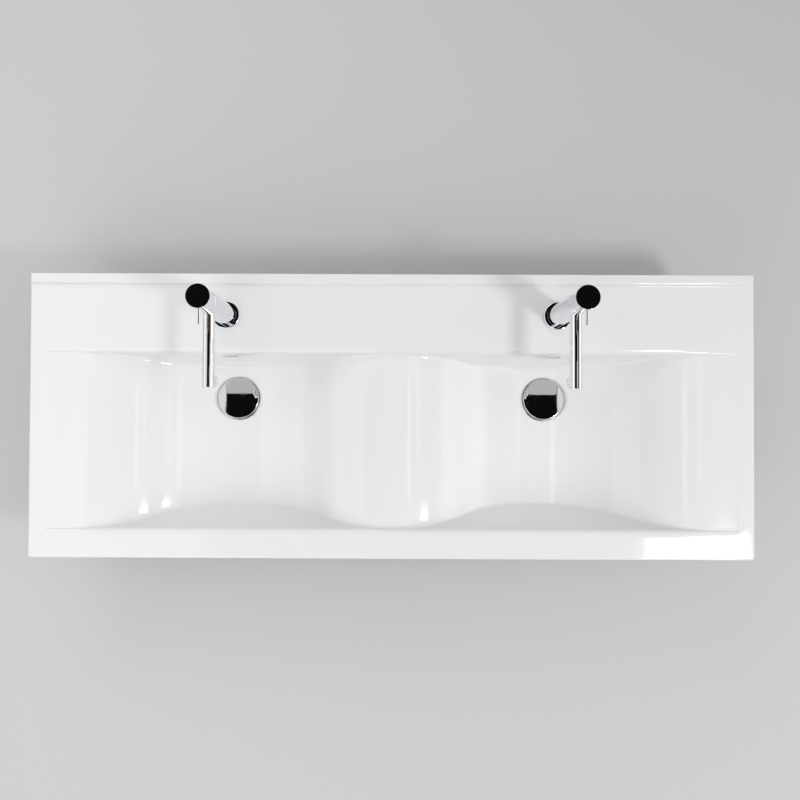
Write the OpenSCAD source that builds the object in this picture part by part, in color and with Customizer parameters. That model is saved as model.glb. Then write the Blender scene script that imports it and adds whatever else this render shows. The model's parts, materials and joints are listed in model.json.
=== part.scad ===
// Twin vanity basin with two pin-lever mixers and two push-open wastes.
// X runs along the wall, Y = 0 is the wall, the front faces -Y, Z = 0 is the cabinet top.

/* [Basin] */
// Overall width along the wall
basin_w = 1200; // [1160:10:1400]
// Overall depth from the wall to the front edge
basin_d = 470; // [450:5:520]
// Height of the rim above the cabinet top
rim_h = 50; // [44:1:70]
// Ceramic thickness round the bowls
wall = 10; // [8:0.5:12]
// Thickness of the tap deck
deck_t = 12; // [10:0.5:15]
// Thickness of the skirt that stands on the cabinet
skirt_t = 12; // [10:0.5:15]
// Height of the upstand along the back edge
upstand_h = 6; // [4:0.5:8]
// Depth of the upstand's flat top
upstand_d = 16; // [12:1:20]
// Radius of the outer corners in plan
corner_r = 5; // [3:0.5:10]
// Radius of the rim's outer top edge
edge_r = 3; // [1:0.5:4]
// Thickness of the rib under the middle hump
rib_t = 12; // [8:1:16]

/* [Trough] */
// Distance between the centres of the two bowls
bowl_pitch = 548; // [540:2:580]
// Width of the tap deck behind the trough
back_ledge = 129; // [126:1:136]
// Width of the rim in front of the trough
front_ledge = 47; // [40:1:60]
// Width of the rim at each end of the trough
side_ledge = 18; // [14:1:24]
// Depth of the bowls below the rim
bowl_depth = 92; // [80:1:100]
// Depth of the middle hump below the rim
hump_depth = 8; // [4:1:14]
// Depth of the shelf at each end of the trough
shelf_depth = 3; // [2:0.5:5]
// Length of the shelf and its lip at each end
shelf_l = 37; // [30:1:50]
// Flat floor from a bowl's centre towards the middle
inner_flat = 29; // [20:1:40]
// Lean of the back wall from upright, in degrees
back_lean = 9.5; // [6:0.5:12]
// Lean of the front wall from upright, in degrees
front_lean = 18.5; // [14:0.5:22]
// Radius of the trough's top edge
lip_r = 8; // [5:0.5:9]

/* [Overflow and waste hole] */
// Distance from the wall to the waste holes
drain_back = 202; // [195:1:215]
// Depth of the overflow hole's centre below the rim
overflow_drop = 25; // [20:1:30]
// Width of the overflow hole
overflow_w = 26; // [20:1:32]
// Height of the overflow hole
overflow_h = 11; // [8:0.5:13]
// Width of the overflow duct
duct_w = 60; // [50:1:70]
// Depth of the overflow duct behind the bowl
duct_t = 14; // [10:0.5:15]
// Thickness of the bowl floor round the waste
floor_t = 14; // [13:0.5:16]
// Height of the chamber under the bowl floor
chamber_h = 16; // [14:0.5:18]
// Diameter of the waste hole
waste_hole_d = 45; // [44:0.5:47]
// Diameter of the flange recess in the floor
recess_d = 70; // [68:0.5:71]
// Diameter of the wall fixing holes
fixing_d = 10; // [8:0.5:12]
// Distance between the two wall fixing holes behind each bowl
fixing_pitch = 280; // [200:10:320]

/* [Tap] */
// Height of the tap above the deck
tap_h = 155; // [150:1:175]
// Distance from the wall to the tap's axis
tap_back = 68; // [64:0.5:70]
// Diameter of the tap hole in the deck
tap_hole_d = 35; // [34:0.5:37]
// Diameter of the barrel and the handle
barrel_d = 35; // [35:0.5:38]
// Diameter of the base ring
base_d = 46; // [45:0.5:50]
// Height of the base ring
base_h = 6; // [5:0.5:9]
// Height of the handle cap
cap_h = 29; // [28:0.5:34]
// Shadow gap under the handle cap
joint_gap = 0.6; // [0.6:0.1:1.2]
// Diameter of the lever pin
lever_d = 4; // [3:0.5:5]
// Length of the lever pin beyond the cap
lever_l = 22; // [16:1:40]
// Travel of the lever, in degrees
lift = 20; // [14:1:20]
// Diameter of the spout
spout_d = 18; // [16:0.5:20]
// Distance from the barrel's top down to the spout's axis
spout_drop = 25; // [24:1:45]
// Reach of the spout in front of the tap's axis
spout_reach = 126; // [110:1:150]
// Wall of the spout tube
spout_wall = 2.5; // [2:0.25:3]
// Diameter of the nozzle
nozzle_d = 19; // [18:0.5:20]
// Drop of the nozzle's outlet below the spout's axis
nozzle_drop = 20; // [18:0.5:26]
// Diameter of the cartridge
cartridge_d = 25; // [24:0.5:26]
// Diameter of the hose inlet sockets
inlet_d = 9; // [8:0.5:10]
// Depth of the hose inlet sockets
inlet_l = 12; // [10:1:16]
// Diameter of the fixing stud
stud_d = 8; // [6:0.5:8]
// Length of the fixing stud below the deck's top
stud_l = 62; // [50:1:80]
// Diameter of the clamp plate
clamp_d = 46; // [44:1:48]

/* [Waste] */
// Diameter of the plug cap
plug_d = 72; // [70:0.5:74]
// Diameter of the waste flange
flange_d = 66; // [64:0.5:67]
// Diameter of the thread at the foot of the waste
thread_d = 41.91; // [41:0.01:42.5]
// Bore of the waste
waste_bore = 37; // [34:0.5:38]
// Length of the waste below the bowl floor
waste_l = 92; // [92:1:110]
// Length of the free thread at the foot
thread_l = 34; // [26:1:34]
// Travel of the plug
plug_travel = 9; // [6:0.5:10]

/* [Hidden] */
$fn = 96;

// Clearances that recur
run_fit = 0.05;
soft_gap = 0.3;
over = 1;

// Finishes as seen
glaze = [0.95, 0.95, 0.94];
chrome = [0.80, 0.82, 0.84];
brass = [0.78, 0.66, 0.36];
steel = [0.62, 0.63, 0.65];
rubber = [0.12, 0.12, 0.12];
plastic = [0.88, 0.88, 0.86];

// Bowls and trough
bowl_x = bowl_pitch / 2;
trough_x = basin_w / 2 - side_ledge;
shelf_x = trough_x - shelf_l;
shelf_lip = 18;
outer_flat = 1;
floor_z = rim_h - bowl_depth;
flank_steps = 14;
lip_steps = 6;
back_edge_y = -back_ledge;
front_edge_y = front_ledge - basin_d;

// Overflow duct and chamber, dish round the plug
chamber_r = duct_w / 2;
dish_r = plug_d / 2 + 2;
dish_h = 5;

// Heights of the tap above the deck
barrel_r = barrel_d / 2;
gasket_t = 1;
ring_floor_t = 2;
barrel_z = gasket_t + ring_floor_t;
ring_inner_r = barrel_r - 2.5;
cap_z = tap_h - cap_h;
collar_h = 1.4;
barrel_top = cap_z - joint_gap - collar_h;
spout_h = barrel_top - spout_drop;
spout_bore_r = spout_d / 2 - spout_wall;
tenon_r = spout_d / 2 - 1.5;
tenon_y = 5.5 - barrel_r;
nozzle_y = nozzle_d / 2 + 2 - spout_reach;
nozzle_z = spout_h - nozzle_drop;
nozzle_bore_d = nozzle_d - 3;
aerator_h = 8;
jet_r = nozzle_d / 2 - 3;
pivot_z = cap_z - 3;
nut_h = 6;
nut_z = barrel_top - 1 - nut_h;
cartridge_h = 8;
bay_z = nut_z - cartridge_h;
neck_r = cartridge_d / 2 - 2.5;
neck_top = barrel_top + 4;
collar_inner_r = neck_r + 0.6;
dome_h = 2.1;
rotor_r = neck_r - 1.5;
rotor_z = pivot_z - 6;
rotor_top = neck_top + 2;
nut_r = barrel_r - 2.5;
spindle_w = 6.8;
eye_r = 4;
hinge_r = 1.5;
cap_wall = 2.8;
cap_roof = 4;
spindle_top = tap_h - cap_roof - 3;
socket_z = rotor_top + 4;
socket_r = 7;
grub_z = socket_z + 7;
grub_r = 2;
lever_z = tap_h - 6.5;
lever_seat_y = 3.5 + cap_wall - barrel_r;
lever_tip = 0.4;
inlet_x = inlet_d / 2 + 2;
inlet_y = 4;
channel_r = 2.2;
outlet_y = -6;
stud_y = -9;
stud_grip = 15;
stud_nut_h = 12;
clamp_seal_t = 3;
clamp_plate_t = 2.5;

// Heights of the waste below the bowl floor
recess_h = 6;
seat_drop = 3.4;
seal_t = 1;
flange_z = seal_t - recess_h;
throat_r = waste_bore / 2;
shank_r = thread_d / 2 - 0.4;
boss_under = -(floor_t + chamber_h + wall);
lower_seal_t = 4;
seal_w = 10;
slip_t = 1.5;
nut_t = 9;
flange_edge = 0.8;
seat_lip = 1.5;
web_z = -44;
web_h = 4;
case_floor = web_z + web_h + 2;
case_top = -8;
case_r = 6;
plunger_r = 4;
plunger_z = case_floor + plug_travel + 7;
stem_r = 3;
plug_z = 1.5;
plug_t = 5;
spigot_r = 24;
spigot_h = 3;

// Points of an arc about c from angle a0 to a1
function arc(c, r, a0, a1, n) = [for (i = [0:n]) let (a = a0 + (a1 - a0) * i / n) c + r * [cos(a), sin(a)]];

// Two equal arcs that meet halfway: drop and slope at u along a flank of length l and height h
function s_radius(l, h) = (l * l + h * h) / (4 * h);
function s_drop(u, l, h) = let (r = s_radius(l, h))
    u <= l / 2 ? r - sqrt(r * r - u * u) : h - r + sqrt(r * r - (l - u) * (l - u));
function s_slope(u, l, h) = asin(min(u, l - u) / s_radius(l, h));

// One flank as [x, depth, slope] from (x0, d0) to (x1, d1)
function flank(x0, d0, x1, d1, n) = let (l = x1 - x0, h = abs(d1 - d0), s = sign(d1 - d0))
    [for (i = [0:n]) let (u = l * i / n) [x0 + u, d0 + s * s_drop(u, l, h), s * s_slope(u, l, h)]];

// The right half of the wave floor: hump, inner flank, bowl, outer flank, shelf and lip
half_wave = concat(
    flank(0, hump_depth, bowl_x - inner_flat, bowl_depth, flank_steps),
    flank(bowl_x + outer_flat, bowl_depth, shelf_x, shelf_depth, flank_steps),
    flank(trough_x - shelf_lip, shelf_depth, trough_x, 0, lip_steps));

// The whole wave as points in X and Z, moved down by t square to the surface
function wave(t) = let (h = [for (p = half_wave) [p[0] - t * sin(p[2]), rim_h - p[1] - t * cos(p[2])]])
    concat([for (i = [len(h) - 1:-1:1]) [-h[i][0], h[i][1]]], h);

// Y of the back and front walls at height z, moved out by t
function back_y(z, t) = back_edge_y - (rim_h - z) * tan(back_lean) + t / cos(back_lean);
function front_y(z, t) = front_edge_y + (rim_h - z) * tan(front_lean) - t / cos(front_lean);

// Extrudes a profile drawn in Y and Z along X, from -w/2 to w/2
module along_x(w) rotate([90, 0, 90]) translate([0, 0, -w / 2]) linear_extrude(w) children();

// Extrudes a profile drawn in X and Z towards the front, from Y = 0 to -d
module along_y(d) rotate([90, 0, 0]) linear_extrude(d) children();

// Horizontal cylinder towards the front, from y0 to y1
module rod_y(r, y0, y1) translate([0, y0, 0]) rotate([90, 0, 0]) cylinder(r = r, h = y0 - y1);

// Horizontal cylinder along X, centred
module rod_x(r, l) rotate([0, 90, 0]) cylinder(r = r, h = l, center = true);

// Upright ring
module ring(ro, ri, z0, z1) translate([0, 0, z0]) difference() {
    cylinder(r = ro, h = z1 - z0);
    translate([0, 0, -over]) cylinder(r = ri, h = z1 - z0 + 2 * over);
}

module at_taps() for (s = [-1, 1]) at_tap(s) children();
module at_tap(side) translate([side * bowl_x, -tap_back, rim_h]) children();
module at_drains() for (s = [-1, 1]) at_drain(s) children();
module at_drain(side) translate([side * bowl_x, -drain_back, floor_z]) children();

// Basin: outer block with rounded edges
module basin_block() {
    e = edge_r;
    side_top = [basin_w / 2 - e, rim_h - e];
    side = arc(side_top, e, 0, 90, 5);
    intersection() {
        translate([0, 0, -over]) linear_extrude(rim_h + 2 * over) polygon(concat(
            arc([basin_w / 2 - corner_r, -corner_r], corner_r, 0, 90, 5),
            arc([corner_r - basin_w / 2, -corner_r], corner_r, 90, 180, 5),
            arc([corner_r - basin_w / 2, corner_r - basin_d], corner_r, 180, 270, 5),
            arc([basin_w / 2 - corner_r, corner_r - basin_d], corner_r, 270, 360, 5)));
        along_x(basin_w + 2 * over) polygon(concat([[-basin_d, 0], [0, 0], [0, rim_h]],
            arc([e - basin_d, rim_h - e], e, 90, 180, 5)));
        translate([0, over, 0]) along_y(basin_d + 2 * over) polygon(concat([[basin_w / 2, 0]], side,
            [for (i = [len(side) - 1:-1:0]) [-side[i][0], side[i][1]]], [[-basin_w / 2, 0]]));
    }
}

// Basin: low upstand with a rounded front edge and a cove at its foot
module upstand() {
    r = upstand_h / 2;
    along_x(basin_w - 2 * corner_r) polygon(concat([[0, rim_h - over], [0, rim_h + upstand_h - 1],
        [-1, rim_h + upstand_h]],
        arc([r - upstand_d, rim_h + r], r, 90, 180, 5),
        arc([-upstand_d - r, rim_h + r], r, 0, -90, 5),
        [[-upstand_d - r, rim_h - over]]));
}

// Basin: cross-section of the trough between its leaning walls, with rounded top edges
module trough_section() {
    tb = lip_r * tan((90 - back_lean) / 2);
    tf = lip_r * tan((90 - front_lean) / 2);
    low = floor_z - 2 * wall;
    back = [back_edge_y + tb, rim_h - lip_r];
    front = [front_edge_y - tf, rim_h - lip_r];
    polygon(concat([[front[0], rim_h + 3 * wall], [back[0], rim_h + 3 * wall]],
        arc(back, lip_r, 90, 180 - back_lean, lip_steps),
        [[back_y(low, 0), low], [front_y(low, 0), low]],
        arc(front, lip_r, front_lean, 90, lip_steps)));
}

// Basin: the hollow of the trough, wave floor between leaning walls
module trough_hollow() {
    pts = wave(0);
    top = rim_h + 2 * wall;
    intersection() {
        along_x(basin_w) trough_section();
        along_y(basin_d) polygon(concat([[-trough_x, top]], pts, [[trough_x, top]]));
    }
}

// Basin: the bowls' outer skin under the wave
module belly() {
    top = rim_h - deck_t / 2;
    low = floor_z - 2 * wall;
    pts = [for (p = wave(wall)) if (p[1] < top) p];
    intersection() {
        along_x(basin_w) polygon([[front_y(top, wall), top], [back_y(top, wall), top],
            [back_y(low, wall), low], [front_y(low, wall), low]]);
        along_y(basin_d) polygon(concat([[pts[0][0], top]], pts, [[pts[len(pts) - 1][0], top]]));
    }
}

// Basin: overflow duct and chamber, grown by t all round
module duct(t) {
    near = t > 0 ? wall / 2 : wall;
    low = floor_z - floor_t - chamber_h - t;
    top = t > 0 ? rim_h - deck_t / 2 : rim_h - deck_t - 2;
    roof = t > 0 ? floor_z - wall / 2 : floor_z - floor_t;
    for (s = [-1, 1]) {
        translate([s * bowl_x, 0, 0]) along_x(duct_w + 2 * t) polygon([
            [back_y(top, near), top], [back_y(low, near), low],
            [back_y(low, wall + duct_t + t), low], [back_y(top, wall + duct_t + t), top]]);
        translate([s * bowl_x - duct_w / 2 - t, -drain_back, low])
            cube([duct_w + 2 * t, drain_back + back_y(low, wall + duct_t / 2), roof - low]);
        translate([s * bowl_x, -drain_back, low]) cylinder(r = chamber_r + t, h = roof - low);
    }
}

// Basin: oval overflow hole through the back wall
module overflow_hole() {
    z = rim_h - overflow_drop;
    r = overflow_h / 2;
    y = back_y(z, wall + duct_t / 2);
    for (s = [-1, 1]) translate([s * bowl_x, 0, z]) {
        for (e = [-1, 1]) translate([e * (overflow_w / 2 - r), 0, 0]) rod_y(r, y, y - 2 * wall - duct_t / 2);
        translate([r - overflow_w / 2, y - 2 * wall - duct_t / 2, -r])
            cube([overflow_w - 2 * r, 2 * wall + duct_t / 2, 2 * r]);
    }
}

// Basin: ceramic body
module basin() {
    inner_x = basin_w / 2 - skirt_t;
    color(glaze) difference() {
        union() {
            difference() {
                basin_block();
                translate([-inner_x, skirt_t - basin_d, -over])
                    cube([2 * inner_x, basin_d - 2 * skirt_t, rim_h - deck_t + over]);
            }
            upstand();
            belly();
            duct(wall);
            translate([-rib_t / 2, -basin_d + skirt_t / 2, 0])
                cube([rib_t, basin_d - skirt_t, rim_h - hump_depth - wall / 2]);
        }
        trough_hollow();
        duct(0);
        overflow_hole();
        at_taps() translate([0, 0, -2 * deck_t]) cylinder(d = tap_hole_d, h = 3 * deck_t);
        at_drains() {
            translate([0, 0, boss_under - over]) cylinder(d = waste_hole_d, h = bowl_depth);
            translate([0, 0, -recess_h]) cylinder(d = recess_d, h = bowl_depth / 2);
            cylinder(r1 = dish_r, r2 = dish_r + dish_h, h = dish_h);
        }
        for (s = [-1, 1], e = [-1, 1]) translate([s * bowl_x + e * fixing_pitch / 2, 0, rim_h / 2])
            rod_y(fixing_d / 2, over, -skirt_t - over);
    }
}

// Tap: rubber ring under the base ring
module tap_gasket() color(rubber) ring(base_d / 2 - 1.5, tap_hole_d / 2 - 2, 0, gasket_t);

// Tap: flange that covers the edge of the tap hole
module base_ring() color(chrome) rotate_extrude() {
    r = base_h * 0.6;
    ro = base_d / 2;
    polygon(concat([[ring_inner_r, gasket_t], [ro, gasket_t]],
        arc([ro - r, gasket_t + base_h - r], r, 0, 90, 8),
        [[barrel_r + run_fit, gasket_t + base_h], [barrel_r + run_fit, barrel_z],
        [ring_inner_r, barrel_z]]));
}

// Tap: barrel with inlets below, waterways and the cartridge bay above
module tap_body() color(chrome) difference() {
    translate([0, 0, barrel_z]) cylinder(r = barrel_r, h = barrel_top - barrel_z);
    translate([0, 0, bay_z]) cylinder(r = cartridge_d / 2 + run_fit, h = tap_h);
    translate([0, 0, nut_z]) cylinder(r = nut_r, h = tap_h);
    for (s = [-1, 1]) translate([s * inlet_x, inlet_y, 0]) {
        cylinder(d = inlet_d, h = barrel_z + inlet_l);
        cylinder(r = channel_r, h = bay_z + over);
    }
    translate([0, outlet_y, spout_h]) cylinder(r = channel_r, h = bay_z - spout_h + over);
    translate([0, stud_y, 0]) cylinder(d = stud_d + 2 * run_fit, h = barrel_z + stud_grip);
    translate([0, 0, spout_h]) {
        rod_y(spout_bore_r, outlet_y + channel_r + over, -barrel_d);
        rod_y(tenon_r, tenon_y, -barrel_d);
    }
}

// Tap: straight spout with a closed tip and a nozzle boss under it
module spout() color(chrome) difference() {
    union() {
        translate([0, 0, spout_h]) difference() {
            rod_y(spout_d / 2, 0, -spout_reach);
            translate([0, 0, -barrel_r]) cylinder(r = barrel_r, h = barrel_d);
        }
        translate([0, 0, spout_h]) rod_y(tenon_r, tenon_y, -barrel_d);
        translate([0, nozzle_y, nozzle_z + aerator_h]) cylinder(d = nozzle_d, h = nozzle_drop - aerator_h);
    }
    translate([0, 0, spout_h]) rod_y(spout_bore_r, over, 3 - spout_reach);
    translate([0, nozzle_y, nozzle_z]) cylinder(d = nozzle_bore_d, h = nozzle_drop - 2);
}

// Tap: ring that screws into the nozzle
module aerator_shell() color(chrome) translate([0, nozzle_y, nozzle_z]) difference() {
    union() {
        translate([0, 0, 1]) cylinder(d = nozzle_d, h = aerator_h - 1);
        cylinder(d1 = nozzle_d - 2, d2 = nozzle_d, h = 1);
        cylinder(d = nozzle_bore_d - 2 * run_fit, h = nozzle_drop - 5);
    }
    translate([0, 0, -over]) cylinder(r = jet_r, h = nozzle_drop);
}

// Tap: plastic jet insert with a ring of holes
module aerator_core() color(plastic) translate([0, nozzle_y, nozzle_z]) difference() {
    translate([0, 0, 1]) cylinder(r = jet_r - run_fit, h = nozzle_drop - 7);
    for (a = [0:45:315]) rotate(a) translate([jet_r * 0.62, 0, 0])
        cylinder(r = jet_r * 0.16, h = nozzle_drop, $fn = 24);
    translate([0, 0, -over]) cylinder(r = jet_r * 0.2, h = nozzle_drop + over, $fn = 24);
}

// Tap: cartridge housing with its ports and a neck that holds the rotor
module cartridge() color(plastic) difference() {
    union() {
        translate([0, 0, bay_z]) cylinder(d = cartridge_d, h = cartridge_h);
        translate([0, 0, nut_z - over]) cylinder(r = neck_r, h = neck_top - nut_z + over);
    }
    translate([0, 0, rotor_z - soft_gap]) cylinder(r = rotor_r + run_fit, h = tap_h);
    for (s = [-1, 1]) translate([s * inlet_x, inlet_y, bay_z - over]) cylinder(r = channel_r, h = 4);
    translate([0, outlet_y, bay_z - over]) cylinder(r = channel_r, h = 4);
}

// Tap: ring nut that clamps the cartridge
module cartridge_nut() color(brass) ring(nut_r - run_fit, neck_r + 0.5, nut_z, nut_z + nut_h);

// Tap: trim ring under the handle with a dome inside the cap
module collar() color(chrome) rotate_extrude() {
    z = barrel_top + collar_h;
    polygon([[collar_inner_r, barrel_top], [barrel_r, barrel_top], [barrel_r, z], [barrel_r - 4, z],
        [barrel_r - 5, z + dome_h / 2], [collar_inner_r + 0.6, z + dome_h], [collar_inner_r, z + dome_h]]);
}

// Cartridge: rotor that turns in the neck, slotted for the spindle
module rotor() color(plastic) difference() {
    translate([0, 0, rotor_z]) cylinder(r = rotor_r, h = rotor_top - rotor_z);
    translate([-spindle_w / 2 - 0.1, -rotor_r - over, pivot_z - eye_r - soft_gap])
        cube([spindle_w + 0.2, 2 * rotor_r + 2 * over, tap_h]);
    translate([0, 0, pivot_z]) rod_x(hinge_r, 3 * rotor_r);
}

// Cartridge: hinge pin across the rotor
module rotor_pin() color(steel) translate([0, 0, pivot_z]) rod_x(hinge_r, 2 * rotor_r - 1);

// Cartridge: square spindle that tilts on the pin
module spindle() color(brass) difference() {
    union() {
        translate([-spindle_w / 2, -spindle_w / 2, pivot_z])
            cube([spindle_w, spindle_w, spindle_top - pivot_z]);
        translate([0, 0, pivot_z]) rod_x(eye_r, spindle_w);
    }
    translate([0, 0, pivot_z]) rod_x(hinge_r + run_fit, 2 * spindle_w);
}

// Handle: cap, cut back at the rear so that it can tilt
module handle_cap() color(chrome) {
    inner_r = barrel_r - cap_wall;
    socket_w = spindle_w + 2 * run_fit;
    rise = (barrel_r + over) * tan(lift + 1.5);
    difference() {
        union() {
            difference() {
                translate([0, 0, cap_z]) rotate_extrude() polygon([[0, 0], [barrel_r, 0],
                    [barrel_r, cap_h - 0.7], [barrel_r - 0.7, cap_h], [0, cap_h]]);
                translate([0, 0, cap_z - over]) cylinder(r = inner_r, h = cap_h - cap_roof + over);
            }
            translate([0, 0, socket_z]) cylinder(r = socket_r, h = tap_h - cap_roof - socket_z + over);
            translate([0, 0, lever_z]) rod_y(lever_d / 2 + 2, lever_seat_y + 0.5, -inner_r - over / 2);
        }
        translate([-socket_w / 2, -socket_w / 2, socket_z - over])
            cube([socket_w, socket_w, spindle_top + 2 * run_fit - socket_z + over]);
        translate([0, 0, lever_z]) rod_y(lever_d / 2, lever_seat_y, -barrel_d);
        translate([0, 0, grub_z]) rod_y(grub_r, inner_r, 0);
        translate([0, 0, grub_z]) rod_y(grub_r + 0.5, barrel_d, inner_r - over);
        along_x(2 * barrel_d) polygon([[0, cap_z], [barrel_r + over, cap_z + rise],
            [barrel_r + over, cap_z - over], [0, cap_z - over]]);
    }
}

// Handle: thin round lever
module lever_pin() color(chrome) translate([0, 0, lever_z]) {
    tip_y = lever_tip - barrel_r - lever_l;
    rod_y(lever_d / 2, lever_seat_y, tip_y);
    translate([0, tip_y, 0]) rotate([90, 0, 0])
        cylinder(d1 = lever_d, d2 = lever_d - 2 * lever_tip, h = lever_tip);
}

// Handle: set screw against the spindle
module grub_screw() color(steel) translate([0, 0, grub_z]) difference() {
    rod_y(grub_r, spindle_w / 2 + 4.5, spindle_w / 2);
    translate([0, spindle_w / 2 + 5, 0]) rotate([90, 0, 0]) cylinder(r = 1.1, h = 2.5, $fn = 6);
}

// Fixing: stud screwed into the barrel
module fixing_stud() color(steel)
    translate([0, stud_y, -stud_l]) cylinder(d = stud_d, h = stud_l + barrel_z + stud_grip - 1);

// Fixing: horseshoe outline round the stud, open towards the wall for the hoses
module horseshoe(d, t) linear_extrude(t) difference() {
    circle(d = d);
    translate([0, stud_y]) circle(d = stud_d + 0.6);
    translate([-inlet_x - inlet_d / 2 - 1, inlet_y - inlet_d / 2 - 2])
        square([2 * inlet_x + inlet_d + 2, clamp_d]);
}

// Fixing: rubber horseshoe against the deck
module clamp_seal() color(rubber) translate([0, 0, -deck_t - clamp_seal_t]) horseshoe(clamp_d, clamp_seal_t);

// Fixing: steel horseshoe
module clamp_plate() color(steel)
    translate([0, 0, -deck_t - clamp_seal_t - clamp_plate_t]) horseshoe(clamp_d - 2, clamp_plate_t);

// Fixing: long hex nut
module stud_nut() color(brass)
    translate([0, stud_y, -deck_t - clamp_seal_t - clamp_plate_t - stud_nut_h]) difference() {
        cylinder(d = stud_d + 7, h = stud_nut_h, $fn = 6);
        translate([0, 0, -over]) cylinder(d = stud_d + 2 * run_fit, h = stud_nut_h + 2 * over);
    }

// Waste: flange, tail with overflow slots, cross web and foot thread
module waste_body() color(chrome) {
    rim_r = flange_d / 2;
    seat_r = throat_r + seat_lip;
    difference() {
        union() {
            translate([0, 0, flange_z]) cylinder(r = rim_r, h = -flange_z - flange_edge);
            translate([0, 0, -flange_edge]) cylinder(r1 = rim_r, r2 = rim_r - flange_edge, h = flange_edge);
            translate([0, 0, -waste_l]) cylinder(r = shank_r, h = waste_l + flange_z + over);
            translate([0, 0, -waste_l]) cylinder(d = thread_d, h = thread_l);
        }
        translate([0, 0, -waste_l - over]) cylinder(r = throat_r, h = waste_l + 2 * over);
        translate([0, 0, -seat_drop - seat_lip]) cylinder(r1 = throat_r, r2 = seat_r, h = seat_lip);
        translate([0, 0, -seat_drop]) cylinder(r1 = seat_r, r2 = rim_r - 2, h = seat_drop);
        for (a = [45:90:315]) rotate(a) translate([throat_r - 2, -6, -floor_t - chamber_h + 2])
            cube([8, 12, chamber_h - 4]);
    }
    difference() {
        union() {
            translate([-throat_r - 0.5, -2.5, web_z]) cube([2 * throat_r + 1, 5, web_h]);
            translate([0, 0, web_z]) cylinder(r = case_r + 1, h = web_h);
        }
        translate([0, 0, web_z - over]) cylinder(r = stem_r, h = web_h + 2 * over);
    }
}

// Waste: rubber ring between flange and ceramic
module flange_seal() color(rubber) ring(flange_d / 2 - 0.5, waste_hole_d / 2 + 0.5, -recess_h, flange_z);

// Plug: round cap with a spigot that carries the seal
module plug_cap() color(chrome) difference() {
    union() {
        rotate_extrude() polygon(concat([[0, plug_z], [plug_d / 2 - 1, plug_z], [plug_d / 2, plug_z + 1]],
            arc([plug_d / 2 - 1.5, plug_z + plug_t - 1.5], 1.5, 0, 90, 5), [[0, plug_z + plug_t]]));
        translate([0, 0, plug_z - spigot_h]) cylinder(r = spigot_r, h = spigot_h + over);
    }
    translate([0, 0, plug_z - spigot_h - over]) cylinder(r = stem_r, h = spigot_h + over + 2);
}

// Plug: rubber ring that closes on the flange
module plug_seal() color(rubber) ring(spigot_r + 3, spigot_r, plug_z - 2.3, plug_z);

// Catch: housing screwed into the cross web
module click_case() color(plastic) difference() {
    union() {
        translate([0, 0, web_z + web_h]) cylinder(r = case_r, h = case_top - web_z - web_h);
        translate([0, 0, web_z - 2]) cylinder(r = stem_r - run_fit, h = web_h + 3);
    }
    translate([0, 0, case_floor]) cylinder(r = plunger_r + run_fit, h = case_top - web_z);
}

// Catch: plunger that carries the cap
module plunger() color(brass) {
    translate([0, 0, plunger_z]) cylinder(r = plunger_r, h = plug_z - spigot_h - plunger_z);
    translate([0, 0, plunger_z + over]) cylinder(r = stem_r - run_fit, h = plug_z + 1.5 - plunger_z - over);
}

// Catch: coil spring under the plunger
module click_spring() color(steel) {
    turns = 7;
    per_turn = 12;
    sides = 6;
    wire_r = 0.45;
    coil_r = plunger_r - wire_r - 0.4;
    rise = plunger_z - case_floor - 2 * wire_r;
    n = turns * per_turn;
    lead = atan(rise / turns / (2 * PI * coil_r));
    pts = [for (i = [0:n], k = [0:sides - 1]) let (
        a = 360 * i / per_turn, b = 360 * k / sides,
        out = wire_r * cos(b), up = wire_r * sin(b))
        [(coil_r + out) * cos(a) + up * sin(lead) * sin(a),
        (coil_r + out) * sin(a) - up * sin(lead) * cos(a),
        case_floor + wire_r + rise * i / n + up * cos(lead)]];
    sides_f = [for (i = [0:n - 1], k = [0:sides - 1]) let (a = i * sides + k, b = i * sides + (k + 1) % sides)
        each [[a, b, b + sides], [a, b + sides, a + sides]]];
    start = [for (k = [1:sides - 2]) [0, k + 1, k]];
    end = [for (k = [1:sides - 2]) [n * sides, n * sides + k, n * sides + k + 1]];
    polyhedron(points = pts, faces = [for (f = concat(sides_f, start, end)) [f[0], f[2], f[1]]]);
}

// Waste: rubber washer under the chamber
module lower_seal() color(rubber) translate([0, 0, boss_under - lower_seal_t]) difference() {
    cylinder(r1 = shank_r + seal_w, r2 = shank_r + seal_w + 3, h = lower_seal_t);
    translate([0, 0, -over]) cylinder(r = shank_r + 0.1, h = lower_seal_t + 2 * over);
}

// Waste: slip ring over the seal
module slip_washer() color(plastic)
    ring(shank_r + seal_w + 1, shank_r + 0.2, boss_under - lower_seal_t - slip_t, boss_under - lower_seal_t);

// Waste: hex nut that pulls the waste tight
module back_nut() color(brass) translate([0, 0, boss_under - lower_seal_t - slip_t - nut_t]) difference() {
    intersection() {
        cylinder(r = shank_r + seal_w + 2.5, h = nut_t, $fn = 6);
        cylinder(r1 = shank_r + seal_w, r2 = shank_r + seal_w + nut_t, h = nut_t);
    }
    translate([0, 0, -over]) cylinder(r = shank_r + run_fit, h = nut_t + 2 * over);
}

basin();

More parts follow.
